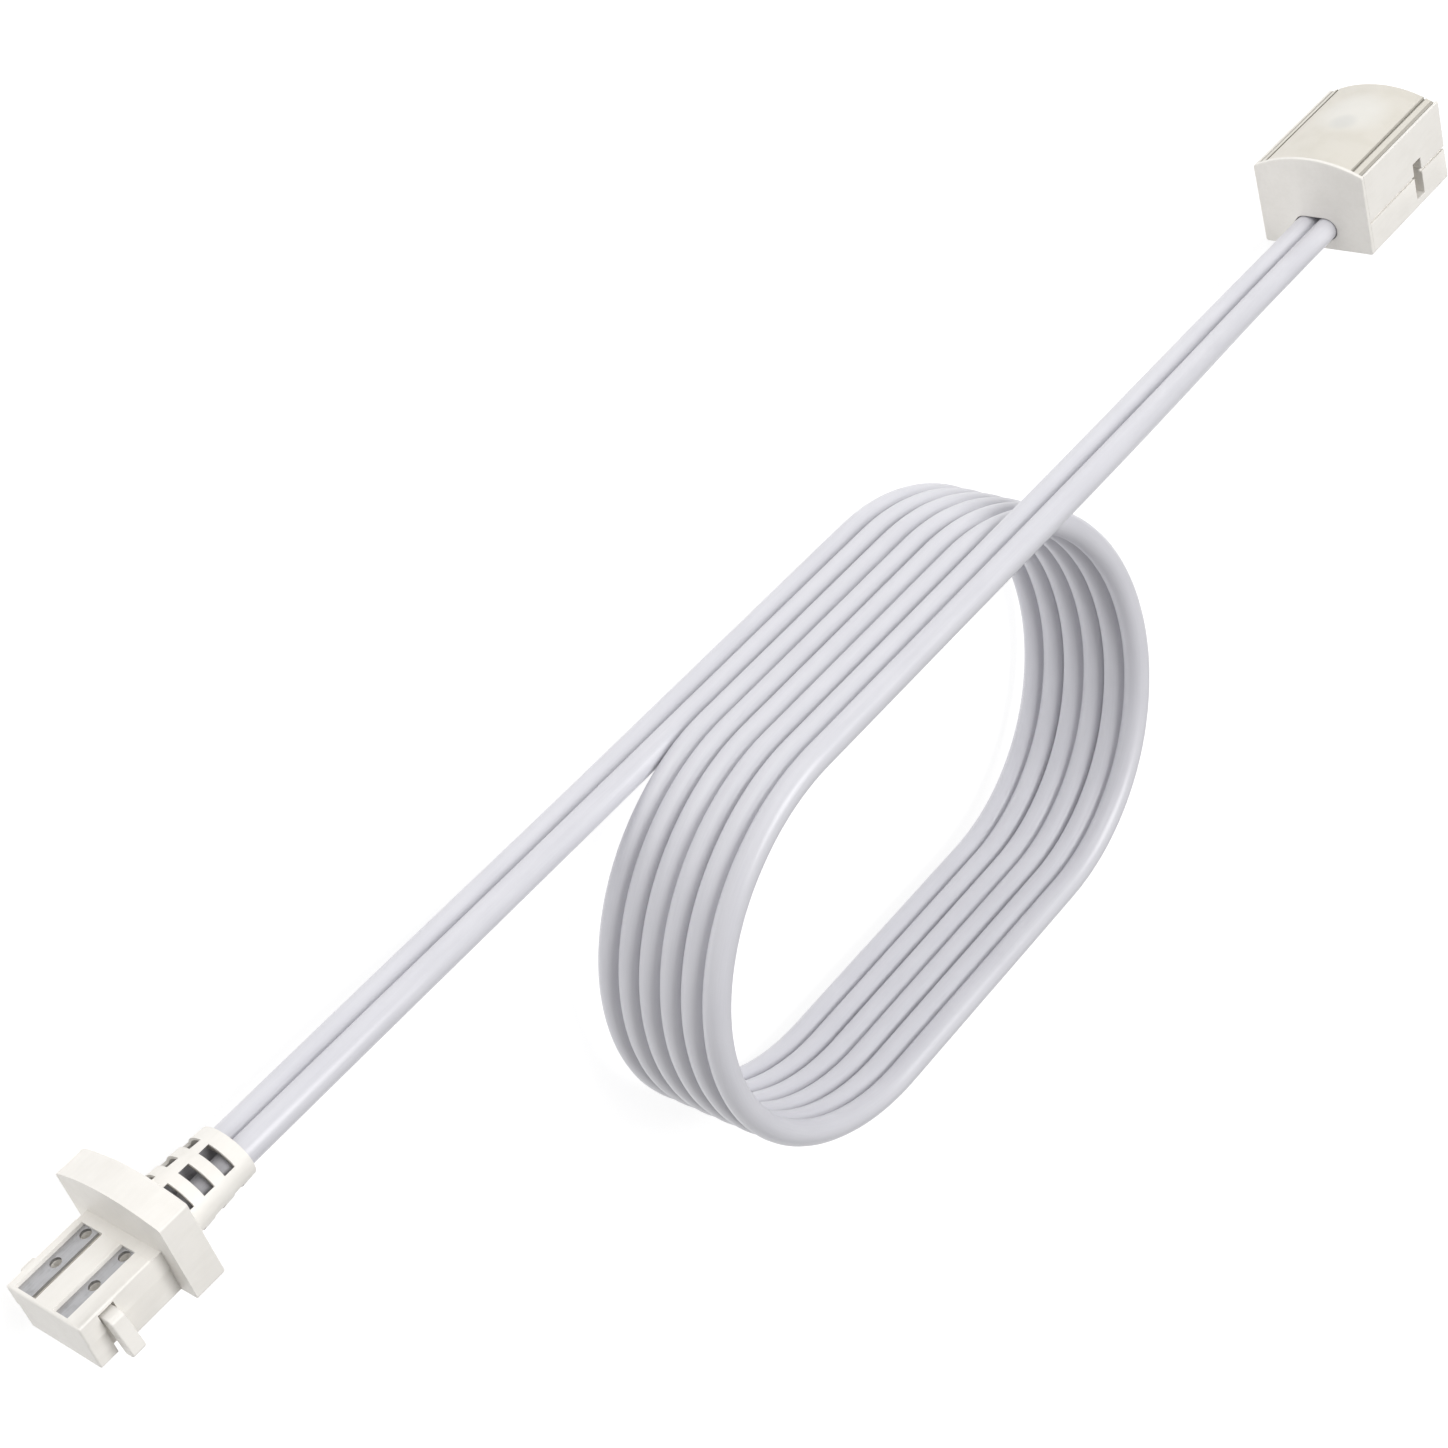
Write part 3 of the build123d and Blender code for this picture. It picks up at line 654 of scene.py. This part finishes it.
def tube_mesh(name: str, rings: np.ndarray, along: np.ndarray, around: np.ndarray) -> bpy.types.Mesh:
    """Closed tube from an array of rings.

    Vertex (i, j) is point j of ring i. Face (i, j) joins points j and j + 1 of rings i and i + 1,
    counted round the ring, and each end is closed by one many-sided face.

    Args:
        name: the mesh's name.
        rings: points, of shape (rings, points per ring, 3), anticlockwise about the way they run.
        along: metres from the start, one for each ring.
        around: metres round the section, one for each point and one more to close it.

    Returns:
        The mesh, smooth along the tube, with a map in metres along and around.
    """
    count, size = rings.shape[:2]
    first = np.arange(count - 1)[:, None] * size
    point = np.arange(size)[None, :]
    after = (point + 1) % size
    near = [first + point, first + after]
    far = [first + size + after, first + size + point]
    quads = np.stack([*near, *far], axis=-1)
    sides = quads.reshape(-1, 4)
    start_cap = np.arange(size)[::-1]
    end_cap = (count - 1) * size + np.arange(size)
    faces = [*sides.tolist(), start_cap.tolist(), end_cap.tolist()]
    mesh = bpy.data.meshes.new(name)
    mesh.from_pydata(rings.reshape(-1, 3).tolist(), [], faces)
    u = np.stack([along[:-1], along[:-1], along[1:], along[1:]], axis=-1)
    u = np.repeat(u[:, None, :], size, axis=1)
    v = np.stack([around[:-1], around[1:], around[1:], around[:-1]], axis=-1)
    v = np.repeat(v[None, :, :], count - 1, axis=0)
    caps = np.zeros((2 * size, 2))
    uv = np.concatenate([np.stack([u, v], axis=-1).reshape(-1, 2), caps])
    layer = mesh.uv_layers.new(name=UV_NAME)
    layer.data.foreach_set("uv", uv.astype(np.float32).ravel())
    mesh.shade_smooth()
    mesh.validate()
    mesh.set_sharp_from_angle(angle=CORNER_CREASE)
    return mesh


@dataclass
class TwinSection:
    """Outline of a flat twin cord: two round cores side by side with a thin web between."""

    core: float = 2.8 * MM
    web: float = 0.9 * MM
    steps: int = 20

    def outline(self) -> np.ndarray:
        """Points round the section, as (across the thickness, across the width).

        Each core is a circle of half the core's diameter, centred that far from the middle. Its
        arc starts and ends where it meets the web, at the angle whose sine is web over core.
        """
        radius = self.core / 2
        meet = np.arcsin(self.web / self.core)
        turn = np.linspace(-pi + meet, pi - meet, self.steps)
        upper = np.stack([radius * np.sin(turn), radius + radius * np.cos(turn)], axis=-1)
        return np.concatenate([upper, -upper])

    def girth(self) -> np.ndarray:
        """Distance round the outline at each point, with one more value that closes it."""
        points = self.outline()
        steps = np.linalg.norm(np.roll(points, -1, axis=0) - points, axis=1)
        return np.concatenate([[0.0], np.cumsum(steps)])

    def sweep(self, name: str, path: np.ndarray) -> bpy.types.Mesh:
        """Carries the outline along a path, with its width kept as upright as the path allows.

        At each point the width lies along up minus its part along the path, and the thickness
        along width cross path.

        Args:
            name: the mesh's name.
            path: the points of the cord's middle line.

        Returns:
            The cord's mesh.
        """
        way = np.gradient(path, axis=0)
        way /= np.linalg.norm(way, axis=1, keepdims=True)
        up = np.array([0.0, 0.0, 1.0])
        width = up - (way @ up)[:, None] * way
        width /= np.linalg.norm(width, axis=1, keepdims=True)
        thick = np.cross(width, way)
        outline = self.outline()
        across = outline[None, :, :1] * thick[:, None, :]
        upright = outline[None, :, 1:] * width[:, None, :]
        rings = path[:, None, :] + across + upright
        steps = np.linalg.norm(np.diff(path, axis=0), axis=1)
        along = np.concatenate([[0.0], np.cumsum(steps)])
        return tube_mesh(name, rings, along, self.girth())


# ---------------------------------------------------------------- cord
@dataclass
class TwinCord:
    """The free cord: from the plug's sleeve along the surface, round the coil and into the socket."""

    exit: Point = (-0.0885, 0.0060, 0.0072)
    entry: Point = (0.0910, -0.0099, 0.0075)
    plug_lead: Tuple[Point, ...] = (
        (-0.0710, 0.0060, 0.0072),
        (-0.0410, 0.0018, 0.0028),
        (-0.0223, 0.0018, 0.0028),
    )
    socket_lead: Tuple[Point, ...] = (
        (0.0081, 0.0018, 0.0196),
        (0.0260, 0.0018, 0.0196),
        (0.0460, -0.002412, 0.015244),
        (0.0670, -0.008496, 0.008952),
        (0.0794, -0.0099, 0.0075),
    )
    turns: int = 3
    radius: float = 22.8 * MM
    half_run: float = 15.2 * MM
    centre_x: float = -7.1 * MM
    centre_y: float = -21.0 * MM
    width: float = 5.6 * MM
    length: float = 0.795
    end_points: int = 6
    steps: int = 14

    def round_end(self, side: int, level: float) -> List[Point]:
        """Control points of one round end, clockwise seen from above.

        The points stand at the middles of equal shares of the half turn, on the radius over the
        cosine of half a share, so that the spline touches the true circle between them. The end
        climbs half the cord's width along half a cosine.

        Args:
            side: 1 for the end nearer the socket, -1 for the other.
            level: height of the cord's middle where the end starts.

        Returns:
            The points.
        """
        share = pi / self.end_points
        reach = self.radius / cos(share / 2)
        angles = (np.arange(self.end_points) + 0.5) * share
        x = self.centre_x + side * (self.half_run + reach * np.sin(angles))
        y = self.centre_y + side * reach * np.cos(angles)
        z = level + self.width / 2 * (1 - np.cos(angles)) / 2
        return list(zip(x.tolist(), y.tolist(), z.tolist()))

    def run(self, side: int, level: float) -> List[Point]:
        """Two control points of a straight run, each as far from its end as the round end's first.

        Args:
            side: 1 for the run on the +Y side, which goes towards +X, -1 for the other.
            level: height of the cord's middle.

        Returns:
            The points, in the order of the route.
        """
        inset = self.half_run - self.radius * tan(pi / self.end_points / 2)
        y = self.centre_y + side * self.radius
        return [(self.centre_x - side * inset, y, level), (self.centre_x + side * inset, y, level)]

    def route(self) -> List[Point]:
        """Every control point, from the sleeve to the socket."""
        climb = self.width / 2
        level = climb
        points: List[Point] = [self.exit, *self.plug_lead, self.run(1, level)[1]]
        for turn in range(self.turns):
            points += self.round_end(1, level) + self.run(-1, level + climb)
            points += self.round_end(-1, level + climb)
            level += 2 * climb
            near_run = self.run(1, level)
            points += near_run if turn < self.turns - 1 else near_run[:1]
        return [*points, *self.socket_lead, self.entry]

    def line(self) -> np.ndarray:
        """Points along the route's smooth spline."""
        curve = bpy.data.curves.new("cord_line", "CURVE")
        curve.dimensions = "3D"
        route = self.route()
        spline = curve.splines.new("NURBS")
        spline.points.add(len(route) - 1)
        spline.points.foreach_set("co", [c for point in route for c in (*point, 1.0)])
        spline.order_u = SPLINE_ORDER
        spline.use_endpoint_u = True
        spline.resolution_u = self.steps
        holder = bpy.data.objects.new("cord_line", curve)
        bpy.context.scene.collection.objects.link(holder)
        bpy.context.view_layer.update()
        mesh = bpy.data.meshes.new_from_object(holder)
        flat = np.empty(3 * len(mesh.vertices))
        mesh.vertices.foreach_get("co", flat)
        bpy.data.objects.remove(holder)
        bpy.data.meshes.remove(mesh)
        return flat.reshape(-1, 3)

    def build(self, section: TwinSection, jacket: bpy.types.Material) -> bpy.types.Object:
        """Args:
            section: the cord's outline.
            jacket: its finish.

        Returns:
            The cord's piece.
        """
        line = self.line()
        piece = new_piece("twin_cord", section.sweep("twin_cord", line), jacket)
        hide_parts("cord_plug_lead", "cord_coil", "cord_socket_lead")
        LOG.info("twin_cord: %d rings", len(line))
        return piece


@dataclass
class CordEnd:
    """A short end of the cord inside the plug or the socket."""

    node: str
    rings: int = 12

    def build(self, section: TwinSection, jacket: bpy.types.Material) -> bpy.types.Object:
        """Makes the end along its node's box.

        Args:
            section: the cord's outline.
            jacket: its finish.

        Returns:
            The end's piece.
        """
        low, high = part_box(self.node)
        centre = (low + high) / 2
        x = np.linspace(low.x, high.x, self.rings)
        path = np.stack([x, np.full_like(x, centre.y), np.full_like(x, centre.z)], axis=-1)
        name = f"{self.node}_jacket"
        piece = new_piece(name, section.sweep(name, path), jacket)
        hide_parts(self.node)
        LOG.info("%s", name)
        return piece


# ---------------------------------------------------------------- mouldings
@dataclass
class Moulding:
    """A moulded shell with its edges softened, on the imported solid's own surface."""

    node: str
    body: str
    slot: str
    edge: float = 0.10 * MM
    edge_steps: int = 2
    weld: float = 0.002 * MM
    crease: float = radians(32)
    flat: float = radians(0.5)

    def mesh(self) -> bpy.types.Mesh:
        """A copy of the node with its corners joined and its flat faces made whole."""
        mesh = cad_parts[self.node].data.copy()
        mesh.name = f"{self.node}_shell"
        work = bmesh.new()
        work.from_mesh(mesh)
        bmesh.ops.remove_doubles(work, verts=work.verts, dist=self.weld)
        bmesh.ops.dissolve_limit(work, angle_limit=self.flat, verts=work.verts, edges=work.edges)
        work.to_mesh(mesh)
        work.free()
        mesh.shade_smooth()
        mesh.set_sharp_from_angle(angle=self.crease)
        return mesh

    def build(self, finish: bpy.types.Material) -> bpy.types.Object:
        """Makes the shell with rounded edges.

        Args:
            finish: its material.

        Returns:
            The shell's piece.
        """
        mesh = self.mesh()
        piece = bpy.data.objects.new(mesh.name, mesh)
        bpy.context.scene.collection.objects.link(piece)
        mesh.materials.clear()
        mesh.materials.append(finish)
        rounding = piece.modifiers.new("rounded_edges", "BEVEL")
        rounding.width = self.edge
        rounding.segments = self.edge_steps
        rounding.limit_method = "ANGLE"
        rounding.angle_limit = self.crease
        rounding.harden_normals = True
        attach(piece, self.body)
        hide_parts(self.node)
        LOG.info("%s: %d faces", piece.name, len(mesh.polygons))
        return piece


def centre_of(node: str) -> Vector:
    """The middle of a node's box."""
    low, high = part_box(node)
    return (low + high) / 2


def dress(nodes: Sequence[str], material: bpy.types.Material) -> None:
    """Gives carried-over nodes their finish.

    Args:
        nodes: the nodes' names.
        material: their finish.
    """
    for name in nodes:
        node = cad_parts[name]
        node.data.materials.clear()
        node.data.materials.append(material)
        LOG.info("%s: %s", name, material.name)


CREAM = MouldedPlastic("cream_moulding", (0.850, 0.825, 0.782), (0.815, 0.790, 0.745))
SLEEVE = MouldedPlastic(
    "sleeve_moulding",
    (0.845, 0.822, 0.780),
    (0.805, 0.780, 0.735),
    roughness=0.5,
    # the sleeve's inside is painted in shade, dark brown
    painted_shade_hollow=PaintedShadeHollow(
        start=(-0.0969, 0.0060, 0.0072),
        length=8.4 * MM,
        root=(2.88 * MM, 3.72 * MM),
        tip=(2.34 * MM, 3.12 * MM),
    ),
)
# painted shade: a darker copy of the jacket for the cord's end inside the plug's sleeve
SHADED_INNER_JACKET = SoftJacket("painted_shade_jacket", (0.36, 0.355, 0.375), (0.32, 0.315, 0.335), roughness=0.5)
JACKET = SoftJacket("twin_jacket", (0.655, 0.652, 0.690), (0.625, 0.622, 0.662), roughness=0.34)
STRIP_METAL = PlatedMetal("plated_strip", (0.45, 0.45, 0.465), (0.39, 0.39, 0.40), roughness=0.42)
SPRING_METAL = PlatedMetal("spring_strip", (0.78, 0.66, 0.42), (0.62, 0.50, 0.32))
COPPER = PlatedMetal("bare_copper", (0.86, 0.50, 0.33), (0.62, 0.33, 0.22), along=(0.3, 1.0, 1.0))
SOLDER = PlatedMetal(
    "solder", (0.80, 0.80, 0.79), (0.62, 0.62, 0.62), roughness=0.22, along=(1.0, 1.0, 1.0)
)


@dataclass
class Plug:
    """The plug: flange, nose, contacts, latch arms, sleeve and the wires inside."""

    arm_edge: float = 0.16 * MM
    arm_edge_steps: int = 3
    sleeve_edge: float = 0.08 * MM

    def build(self, section: TwinSection) -> None:
        """Builds its shells and dresses the rest.

        Args:
            section: the cord's outline.
        """
        cream = CREAM.material()
        for node in ("plug_housing", "contact_carrier"):
            Moulding(node, BODY, "white_plastic").build(cream)
        for node in ("latch_arm_left", "latch_arm_right"):
            arm = Moulding(node, node, "white_plastic", self.arm_edge, self.arm_edge_steps)
            arm.build(cream)
        sleeve = Moulding("strain_relief", BODY, "sleeve_plastic", self.sleeve_edge)
        sleeve.build(SLEEVE.material())
        # the cord's end inside the plug takes the painted-shade jacket
        CordEnd("cord_end_plug").build(section, SHADED_INNER_JACKET.material())
        dress(("contact_left", "contact_right"), STRIP_METAL.material())
        dress(("plug_strand_left", "plug_strand_right"), COPPER.material())


@dataclass
class Outlet:
    """The socket: cap, shells, lens, board, spring contacts, clamp and the wires inside."""

    lens_edge: float = 0.06 * MM
    lens_groove: float = 5.95 * MM
    shadow_shift: float = 1.2 * MM
    chip_well: float = 1.15 * MM
    resistor_half: float = 0.7 * MM

    def lens(self) -> FrostedLens:
        """The lens's finish, with painted light over the chip's node and a painted shadow over the
        resistor's node, shifted along X.
        """
        return FrostedLens(
            "frosted_lens",
            colour=(0.80, 0.765, 0.690),
            shade=(0.77, 0.735, 0.655),
            roughness=0.40,
            clearness=0.18,
            chip=tuple(centre_of("led_chip")),
            resistor=tuple(centre_of("resistor") + Vector((self.shadow_shift, 0.0, 0.0))),
            groove=self.lens_groove,
        )

    def board(self) -> Board:
        """The board's finish, with a tinned ring round each solder joint."""
        joints = [centre_of(node) for node in ("solder_joint_left", "solder_joint_right")]
        pads = tuple((joint.x, joint.z) for joint in joints)
        return Board("board_face", mask=(0.80, 0.80, 0.77), tin=(0.78, 0.78, 0.76), pads=pads)

    def chip(self) -> LightChip:
        """The light chip's finish."""
        return LightChip(
            "light_chip",
            centre=tuple(centre_of("led_chip")),
            package=(0.86, 0.86, 0.84),
            phosphor=(0.93, 0.84, 0.42),
            well=self.chip_well,
        )

    def build(self, section: TwinSection, jacket: bpy.types.Material) -> None:
        """Builds its shells and dresses the rest.

        Args:
            section: the cord's outline.
            jacket: the cord's finish.
        """
        cream = bpy.data.materials[CREAM.name]
        for node in ("end_cap", "base_shell", "upper_shell"):
            Moulding(node, BODY, "white_plastic").build(cream)
        Moulding("lens", BODY, "frosted_lens", self.lens_edge).build(self.lens().material())
        CordEnd("cord_end_socket").build(section, jacket)
        dress(("circuit_board",), self.board().material())
        dress(("led_chip",), self.chip().material())
        resistor = ChipResistor("chip_resistor", tuple(centre_of("resistor")), self.resistor_half)
        dress(("resistor",), resistor.material())
        sides = ("left", "right")
        springs = [f"contact_{part}_{side}" for part in ("foot", "leaf") for side in sides]
        dress(springs, SPRING_METAL.material())
        copper = bpy.data.materials[COPPER.name]
        dress(("socket_strand_left", "socket_strand_right"), copper)
        dress(("solder_joint_left", "solder_joint_right"), SOLDER.material())
        dress(("cord_clamp",), cream)


# ---------------------------------------------------------------- studio
@dataclass(frozen=True)
class SoftLamp:
    """A square soft light that looks at the object's middle from a direction."""

    name: str
    way: Point
    size: float
    power: float
    distance: float = 0.9

    def build(self) -> None:
        """Hangs the lamp."""
        data = bpy.data.lights.new(self.name, "AREA")
        data.size = self.size
        data.energy = self.power
        lamp = bpy.data.objects.new(self.name, data)
        bpy.context.scene.collection.objects.link(lamp)
        back = Vector(self.way).normalized()
        centre = (CAD_BOX[0] + CAD_BOX[1]) / 2
        turn = back.to_track_quat("Z", "Y").to_matrix().to_4x4()
        lamp.matrix_world = Matrix.Translation(centre + self.distance * back) @ turn


@dataclass
class Studio:
    """Camera, floor and soft light."""

    eye: Point = (-0.16156, 0.16800, 0.18460)
    right: Point = (0.61582, -0.26840, 0.74076)
    forward: Point = (0.49888, -0.59488, -0.63027)
    lens: float = 70.105
    sensor: float = 36.0
    nearest: float = 0.01
    farthest: float = 20.0
    floor_size: float = 6.0
    sky: float = 0.32
    lamps: Tuple[SoftLamp, ...] = (
        SoftLamp("key", (0.16, 0.34, 0.93), size=0.5, power=6.1),
        SoftLamp("side", (-0.15, 0.98, 0.15), size=0.6, power=2.0),
    )

    def camera(self) -> None:
        """Sets the camera where it sees plug and socket in opposite corners."""
        data = bpy.data.cameras.new("camera")
        data.lens = self.lens
        data.sensor_width = self.sensor
        data.clip_start = self.nearest
        data.clip_end = self.farthest
        camera = bpy.data.objects.new("camera", data)
        bpy.context.scene.collection.objects.link(camera)
        forward = Vector(self.forward).normalized()
        right = Vector(self.right)
        right = (right - right.dot(forward) * forward).normalized()
        up = right.cross(forward)
        turn = Matrix((right, up, -forward)).transposed().to_4x4()
        camera.matrix_world = Matrix.Translation(self.eye) @ turn
        bpy.context.scene.camera = camera

    def floor(self) -> None:
        """Lays a plain pale floor under the object."""
        half = self.floor_size / 2
        corners = [(-half, -half, 0), (half, -half, 0), (half, half, 0), (-half, half, 0)]
        mesh = bpy.data.meshes.new("floor")
        mesh.from_pydata(corners, [], [(0, 1, 2, 3)])
        mesh.materials.append(Floor().material())
        floor = bpy.data.objects.new("floor", mesh)
        bpy.context.scene.collection.objects.link(floor)

    def build(self) -> None:
        """Sets everything up."""
        self.camera()
        self.floor()
        world = bpy.data.worlds.new("studio")
        world.use_nodes = True
        background = world.node_tree.nodes["Background"]
        background.inputs["Color"].default_value = (*WHITE, 1.0)
        background.inputs["Strength"].default_value = self.sky
        bpy.context.scene.world = world
        for lamp in self.lamps:
            lamp.build()
        bpy.context.scene.view_settings.view_transform = "Standard"


def main() -> None:
    """Builds the studio and the object."""
    logging.basicConfig(level=logging.INFO, format="%(name)s %(message)s")
    Studio().build()
    section = TwinSection()
    jacket = JACKET.material()
    TwinCord().build(section, jacket)
    Plug().build(section)
    Outlet().build(section, jacket)


if __name__ == "__main__":
    main()
